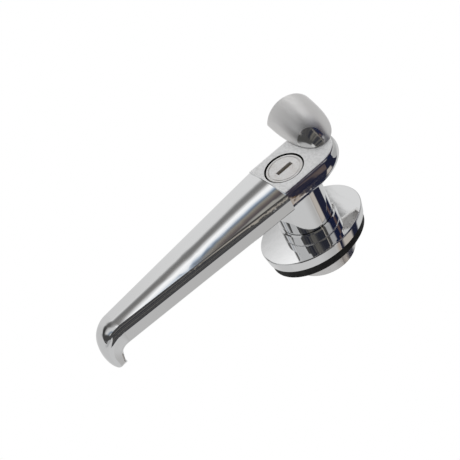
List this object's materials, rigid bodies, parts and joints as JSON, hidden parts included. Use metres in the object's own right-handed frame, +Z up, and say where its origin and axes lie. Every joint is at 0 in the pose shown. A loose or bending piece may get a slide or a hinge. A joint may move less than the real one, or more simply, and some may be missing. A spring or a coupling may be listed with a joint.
{
  "type": "lever handle lock",
  "caption": "Chromed lever handle lock: tapering lever with hooked tip on a stem, oval escutcheon on a rubber gasket, key barrel in the head and a swinging dust cap",
  "frame": {"origin": "middle of the panel seat, on the axis of the stem, where the rear face of the gasket meets the door panel", "axes": "-Y points out of the door towards the user, +Y through the panel, +Z up with the lever hanging down along -Z, +X to the right seen from the front"},
  "size_m": [0.0505, 0.0731, 0.1504],
  "materials": {
    "chrome_casting": "bright chrome plate on zinc casting",
    "nickel_barrel": "satin nickel",
    "zinc_steel": "zinc plated steel",
    "spring_steel": "bare spring steel",
    "brass_wafer": "stamped brass",
    "black_rubber": "smooth black rubber"
  },
  "bodies": {
    "escutcheon_body": {"escutcheon": "chrome_casting", "panel_gasket": "black_rubber"},
    "lever_body": {"lever": "chrome_casting", "stem_o_ring": "black_rubber", "barrel_housing": "nickel_barrel", "barrel_pin": "zinc_steel", "stop_plate": "zinc_steel", "wave_washer": "spring_steel", "drive_circlip": "spring_steel", "cam_washer": "zinc_steel", "cam_lock_washer": "spring_steel", "cam_screw": "zinc_steel", "bolt_spring": "spring_steel"},
    "cap_body": {"dust_cap": "chrome_casting", "cap_pivot_pin": "zinc_steel", "cap_spring_washer": "spring_steel", "cap_retaining_ring": "spring_steel"},
    "plug_body": {"key_plug": "nickel_barrel", "wafer_1": "brass_wafer", "wafer_2": "brass_wafer", "wafer_3": "brass_wafer", "wafer_4": "brass_wafer", "wafer_5": "brass_wafer", "wafer_spring_1": "spring_steel", "wafer_spring_2": "spring_steel", "wafer_spring_3": "spring_steel", "wafer_spring_4": "spring_steel", "wafer_spring_5": "spring_steel", "plug_clip": "spring_steel", "plug_cam": "zinc_steel", "plug_cam_clip": "spring_steel"},
    "bolt_body": {"locking_bolt": "zinc_steel"}
  },
  "joints": [
    {"name": "lever_turn", "type": "hinge", "parent": "escutcheon_body", "child": "lever_body", "pos_m": [0, 0, 0], "axis": [0, -1, 0], "range_deg": [0, 90]},
    {"name": "cap_swing", "type": "hinge", "parent": "lever_body", "child": "cap_body", "pos_m": [0.0008, 0, 0.02], "axis": [0, -1, 0], "range_deg": [-80, 99.8]},
    {"name": "plug_turn", "type": "hinge", "parent": "lever_body", "child": "plug_body", "pos_m": [0, 0, 0], "axis": [0, -1, 0], "range_deg": [0, 90]},
    {"name": "bolt_slide", "type": "slide", "parent": "lever_body", "child": "bolt_body", "axis": [1, 0, 0], "range_m": [0, 0.003], "deforming": ["bolt_spring"]}
  ],
  "couplings": [
    {"joint": "bolt_slide", "follows": "plug_turn", "m_per_rad": 0.0019099}
  ]
}
